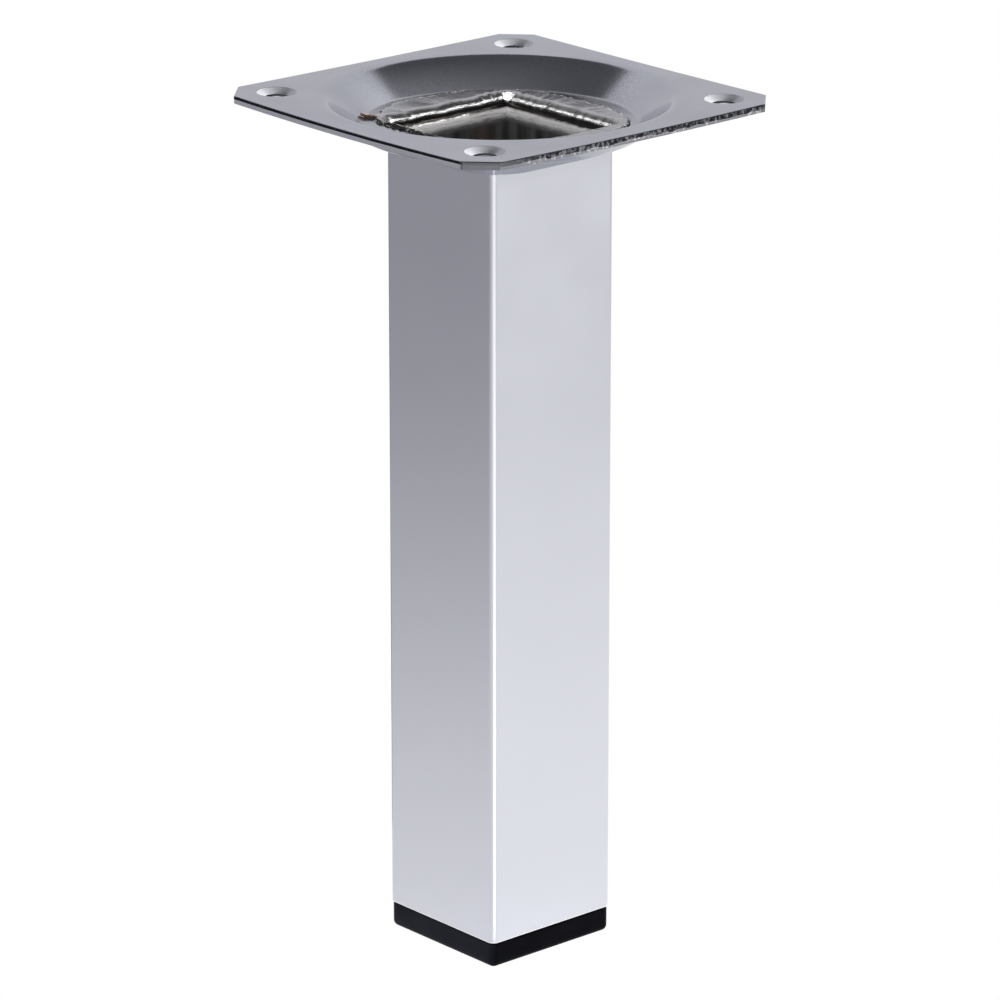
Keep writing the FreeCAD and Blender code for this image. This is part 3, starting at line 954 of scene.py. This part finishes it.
def moulded_black(name, shade):
    """Black plastic with a fine grain and uneven gloss."""
    colours = (shade, 1.05 * shade, 1.6 * shade), (1.6 * shade, 1.65 * shade, 2.3 * shade)
    return clouded(name, 120, 3600, colours, (0.36, 0.46), 0.05, 0.012,
                   Specular_IOR_Level=0.03, Specular_Tint=(0.75, 0.82, 1.0))


foot_black = moulded_black("moulded_black", 0.004)
plug_black = moulded_black("plug_nylon_black", 0.02)
print("finishes", foot_black.name, plug_black.name)

# %% Capped grids


def capped(rows):
    """Points and faces of rows that start and end round the axis: quads, and a fan at each end."""
    numbers = numbered(rows)
    middles = np.stack([rows[0].mean(axis=0), rows[-1].mean(axis=0)])
    fans = []
    for middle, ring in ((numbers.size, numbers[0]), (numbers.size + 1, numbers[-1])):
        fans += np.stack([np.full(len(ring), middle), ring, np.roll(ring, -1)], axis=1).tolist()
    points = np.concatenate([rows.reshape(-1, 3), middles])
    return points, quads_between(numbers).reshape(-1, 4).tolist() + fans


print("two rows of four make", len(capped(np.zeros((2, 4, 3)))[1]), "faces")

# %% The foot's surface
FOOT_SIDE_STEPS = 44
FOOT_CORNER_STEPS = 12
HEAD_THICKNESS = 2.0
HEAD_CLEARANCE = 0.05
STUD_RADIUS = 4.0
SOLE_ROUND = 1.2
SWELL = 0.15                # the moulding comes out a little wider than drawn, almost flush with the tube
TOP_ROUND = 0.25
MIDDLE_RING = 1.0           # radius of the ring round each end's middle

foot_width = foot_half + SWELL
foot_feet, foot_facing = columns_round(foot_width - TUBE_CORNER, FOOT_SIDE_STEPS, FOOT_CORNER_STEPS)
foot_turn = np.arctan2(*(foot_feet + foot_facing * TUBE_CORNER).T[::-1])
foot_way = ways(foot_turn)
pocket_bottom = head_bottom - HEAD_CLEARANCE
pocket_top = head_bottom + HEAD_THICKNESS + HEAD_CLEARANCE
pocket_radius = head_radius + HEAD_CLEARANCE
stud_hole = STUD_RADIUS + HEAD_CLEARANCE
pocket = about_axis([
    (MIDDLE_RING, pocket_bottom), (pocket_radius, pocket_bottom), (pocket_radius, pocket_top),
    (stud_hole, pocket_top), (stud_hole, foot_top - TOP_ROUND), (stud_hole + TOP_ROUND, foot_top),
], foot_way)
side = carried(np.concatenate([
    arc(TUBE_CORNER - TOP_ROUND, foot_top - TOP_ROUND, TOP_ROUND, 90, 0, 4),
    straight((TUBE_CORNER, foot_top - TOP_ROUND), (TUBE_CORNER, SOLE_ROUND), 4)[1:],
    arc(TUBE_CORNER - SOLE_ROUND, SOLE_ROUND, SOLE_ROUND, 0, -90, 8)[1:],
]), foot_feet, foot_facing)
sole = about_axis([(MIDDLE_RING, 0.0)], foot_way)
foot_points, foot_faces = capped(np.concatenate([
    pocket, between(pocket[-1], side[0], 6), side, between(side[-1], sole[0], 8), sole,
]))
foot_piece = make_piece("moulded_foot", foot_points, foot_faces, "foot", [foot_black],
                        "foot_pad")

# %% [markdown]
# ## The stud
# The stud carries a rolled thread. Its surface is a radius that depends on height and angle: the thread's
# form repeats once a pitch, and starts one pitch higher for each turn, which makes the helix.

# %% Bright zinc, a little blue
zinc = clouded("bright_zinc", 300, 4200, ((0.60, 0.62, 0.64), (0.74, 0.75, 0.75)), (0.22, 0.34), 0.04, 0.006,
               Metallic=1.0)
print("finish", zinc.name, "with", len(zinc.node_tree.nodes), "nodes")

# %% The threaded stud
PITCH = 1.25
THREAD_DEPTH = 0.72
TIP_CHAMFER = 0.8
STUD_COLUMNS = 56
ROWS_PER_PITCH = 12
DISC_CHAMFER = 0.3

head_top = head_bottom + HEAD_THICKNESS
stud_turn = np.linspace(0, 2 * np.pi, STUD_COLUMNS, endpoint=False)
stud_way = ways(stud_turn)
levels = np.linspace(head_top, stud_tip, int((stud_tip - head_top) / PITCH * ROWS_PER_PITCH))
phase = (levels[:, None] / PITCH - stud_turn[None] / (2 * np.pi)) % 1
groove = np.clip((np.abs(2 * phase - 1) - 0.15) / 0.6, 0, 1)
runout = np.clip((levels - head_top) / (2 * PITCH), 0, 1)[:, None]
tip = np.clip(STUD_RADIUS - TIP_CHAMFER + stud_tip - levels, 0, STUD_RADIUS)[:, None]
thread_radius = np.minimum(STUD_RADIUS - 0.02 - THREAD_DEPTH * groove * runout, tip)
thread = raised(stud_way[None] * thread_radius[:, :, None], levels[:, None])
disc = about_axis([
    (MIDDLE_RING, head_bottom), (head_radius - DISC_CHAMFER, head_bottom),
    (head_radius, head_bottom + DISC_CHAMFER), (head_radius, head_top - DISC_CHAMFER),
    (head_radius - DISC_CHAMFER, head_top), (STUD_RADIUS + 0.02, head_top),
], stud_way)
stud_points, stud_faces = capped(np.concatenate([disc, thread[1:]]))
make_piece("threaded_stud", stud_points, stud_faces, "foot", [zinc], "levelling_stud")

# %% [markdown]
# ## Plug and nut
# The plug and its nut keep their solids, which already have the right shape. They only change finish.

# %% Finishes on the solids
for node, finish in (("tube_plug", plug_black), ("captive_nut", zinc)):
    for place in frame["nodes"][node].material_slots:
        place.material = finish
    print(node, "wears", finish.name)

# %% [markdown]
# ## Studio
# A white floor lights the leg from below. The camera looks through it, at the same white in the room, so
# that the foot still shows when it is screwed out and stands lower than the floor.

# %% Floor
FLOOR_REACH = 8.0


def stage_sheet(*of_mesh):
    """A flat piece of the stage, from what its mesh is made of."""
    mesh = make_mesh(*of_mesh)
    sheet = placed(mesh.name, mesh)
    return sheet


paper = Finish("white_floor", Roughness=0.9, Specular_IOR_Level=0.0, Base_Color=(0.70, 0.70, 0.71),
               Emission_Color=(1.0, 1.0, 1.0), Emission_Strength=0.90).material
floor_corners = FLOOR_REACH * np.array([(-1, -1, 0), (1, -1, 0), (1, 1, 0), (-1, 1, 0)])
floor = stage_sheet("studio_floor", floor_corners, [(0, 1, 2, 3)], [paper])
floor.visible_camera = False            # the camera looks through it at the same white in the room below
print("floor of", 2 * FLOOR_REACH, "m")

# %% [markdown]
# ### Cards
# Metal shows what it mirrors. The cards lie on the floor and only mirror reflections see them. The dark and
# the grey one give the tube's left and right faces their fall from light to dark, the one at the back
# darkens the round of its left edge, and the bright one lights up that of its front corner.

# %% Cards on the floor
CARD_LEVEL = 0.002
CARD_HALF = 1.2
NAVY, BLACK, WHITE = (0.0, 0.0, 0.03), (0.0, 0.0, 0.0), (2.0, 2.0, 2.0)


def card_glow(name, colour):
    """A card's finish: even light of a given colour, as solid at each corner as the number cover says."""
    finish = Finish(name)
    finish.tree.nodes.remove(finish.shader)
    clear = finish.add("ShaderNodeBsdfTransparent").outputs[0]
    glow = finish.add("ShaderNodeEmission", colour).outputs[0]
    mixed = finish.add("ShaderNodeMixShader", finish.mark("cover"), clear, glow).outputs[0]
    finish.feed(finish.tree.nodes["Material Output"].inputs["Surface"], mixed)
    return finish.material


def floor_card(name, start, way, steps, half_widths, covers, colour):
    """A strip over the floor from `start` along `way`, with a half width and a cover at each step.

    Only mirror reflections see it.
    """
    way = np.asarray(way) / np.linalg.norm(way)
    middle = np.asarray(start) + np.asarray(steps)[:, None] * way
    side = np.asarray(half_widths)[:, None] * np.array([way[1], -way[0]])
    plan = np.concatenate([middle + side, middle - side])
    count = len(steps)
    faces = [(k, k + 1, count + k + 1, count + k) for k in range(count - 1)]
    card = stage_sheet(name, raised(plan, CARD_LEVEL), faces, [card_glow(name, colour)],
                       {"cover": np.tile(covers, 2)})
    for ray in ("camera", "diffuse", "shadow", "transmission", "volume_scatter"):
        setattr(card, "visible_" + ray, False)
    print(name, "reaches", steps[-1], "m")


corner_steps = np.array([0.01, 0.06, 0.20, 0.60, 1.2])
corner_spread = math.tan(math.radians(15)) * corner_steps
back_steps = np.array([0.06, 0.12, 0.40, 0.60])
back_spread = math.tan(math.radians(20)) * back_steps
floor_card("dark_card", (0, 0), (-0.66, 0.75), [0.0, 0.10, 0.20, 0.28, 0.40, 3.0], np.full(6, CARD_HALF),
           [0.20, 0.305, 0.466, 0.57, 0.70, 0.69], NAVY)
floor_card("grey_card", (0, 0), (0.66, -0.75), [0.0, 0.10, 0.20, 0.30, 0.45, 3.0], np.full(6, CARD_HALF),
           [0.08, 0.09, 0.152, 0.235, 0.368, 0.368], BLACK)
floor_card("back_card", (0, 0), (0.12, 0.99), back_steps, back_spread, [0.7, 0.8, 0.8, 0], NAVY)
floor_card("bright_card", (-0.015, -0.015), (-0.37, -0.88), corner_steps, corner_spread,
           [1, 1, 0.9, 0.7, 0.6], WHITE)

# %% [markdown]
# ### Lights
# Each soft light falls on one piece only, as flags on stands would arrange it. Those of the tube are also
# mirrored by its bare mouth. Those of the plate and the foot brighten them without a mirror image.

# %% Lights
AIM = Vector((0.0, 0.0, 0.16))
DISTANCE = 1.4
SOFTBOXES = [               # way from the plate, size in m, radiance of the face, lit piece, mirrored
    ("right_softbox", (0.64, -0.245, 0.728), 0.12, 6.5, tube_piece, True),
    ("left_softbox", (-0.245, 0.728, 0.64), 0.12, 3.5, tube_piece, True),
    ("mouth_softbox", (0.55, -0.83, 0.11), 0.34, 32.0, tube_piece, True),
    ("top_softbox", (-0.15, -0.05, 0.98), 2.00, 5.0, tube_piece, True),
    ("front_softbox", (0.75, -0.50, 0.43), 0.50, 55.0, plate_piece, False),
    ("foot_softbox", (-0.90, 0.30, 0.30), 0.50, 50.0, foot_piece, False),
]
for name, way, size, radiance, piece, mirrored in SOFTBOXES:
    lamp = bpy.data.lights.new(name, "AREA")
    lamp.size = size
    lamp.energy = radiance * math.pi * size ** 2
    box = placed(name, lamp)
    way = Vector(way).normalized()
    box.location = AIM + way * DISTANCE
    box.rotation_mode = "QUATERNION"
    box.rotation_quaternion = way.to_track_quat("Z", "Y")
    box.visible_camera = False
    box.visible_glossy = mirrored
    lit = bpy.data.collections.new(name + "_lit")
    lit.objects.link(piece)
    box.light_linking.receiver_collection = lit
    print(name, "lights", piece.name)

# %% [markdown]
# ### Room
# The room is white below the horizon and pale at its walls, which reach higher behind the leg than in front
# of it. Above them it is dark. The plate's flat rim mirrors the high wall, and the dish's back wall, which
# leans towards the camera, mirrors the dark ceiling.

# %% Room
BEHIND = (0.66, 0.751, 0.0)
ROOM_TONES = [(0.0, 0.64), (0.12, 0.58), (0.30, 0.57), (0.60, 0.68), (1.0, 0.68)]
CEILING = 0.098
WALL_FRONT, WALL_BACK = 0.22, 0.695      # height of the pale wall, as the sine of its elevation
WALL_RISE = 0.1, 0.45                    # where it rises, as the cosine of the angle from straight behind
WALL_FADE = 0.02
HORIZON = -0.03, -0.01

world = bpy.data.worlds.new("room")
scene.world = world
world.use_nodes = True
room = Nodes(world.node_tree)
way = room.add("ShaderNodeTexCoord").outputs["Generated"]
height = room.add("ShaderNodeSeparateXYZ", way).outputs["Z"]
behind = room.add("ShaderNodeVectorMath", way, BEHIND, operation="DOT_PRODUCT").outputs["Value"]
wall = room.ramp(behind, WALL_FRONT, WALL_BACK, *WALL_RISE)
overhead = room.ramp(room.minus(height, wall), 0, 1, -WALL_FADE, WALL_FADE)
tone = room.bands(height, [(place, (grey, grey, 1.03 * grey)) for place, grey in ROOM_TONES])
tone = room.blend(overhead, tone, (CEILING, CEILING, 1.05 * CEILING))
tone = room.blend(room.ramp(height, 1, 0, *HORIZON), tone, (1.0, 1.0, 1.0))
room.feed(room.tree.nodes["Background"].inputs["Color"], tone)
print("room of", len(ROOM_TONES), "tones, from the horizon up")

# %% [markdown]
# ### Camera
# The camera was fitted to the straight edges of the leg in the photo. It looks from the left, a little
# from above, through a long lens.

# %% Camera
VIEW_AZIMUTH, VIEW_ELEVATION = math.radians(-41.31), math.radians(18.16)
VIEW_DISTANCE = 1.0692
VIEW_CENTRE = Vector((0, 0, 0.08224))
VIEW_AIM = Vector((0, 0, 0.08612))
LENS = 205.4

back = Vector((math.sin(VIEW_AZIMUTH) * math.cos(VIEW_ELEVATION),
               -math.cos(VIEW_AZIMUTH) * math.cos(VIEW_ELEVATION), math.sin(VIEW_ELEVATION)))
camera = placed("camera", bpy.data.cameras.new("camera"))
camera.data.lens = LENS
camera.data.sensor_width = 36.0
camera.data.clip_start = 0.01
camera.location = VIEW_CENTRE + back * VIEW_DISTANCE
camera.rotation_mode = "QUATERNION"
camera.rotation_quaternion = (VIEW_AIM - camera.location).to_track_quat("-Z", "Y")
scene.camera = camera
scene.view_settings.view_transform = "Standard"
print("camera at", [round(value, 3) for value in camera.location])

# %% [markdown]
# ## Size
# The dressed leg has to keep to the solids' box.
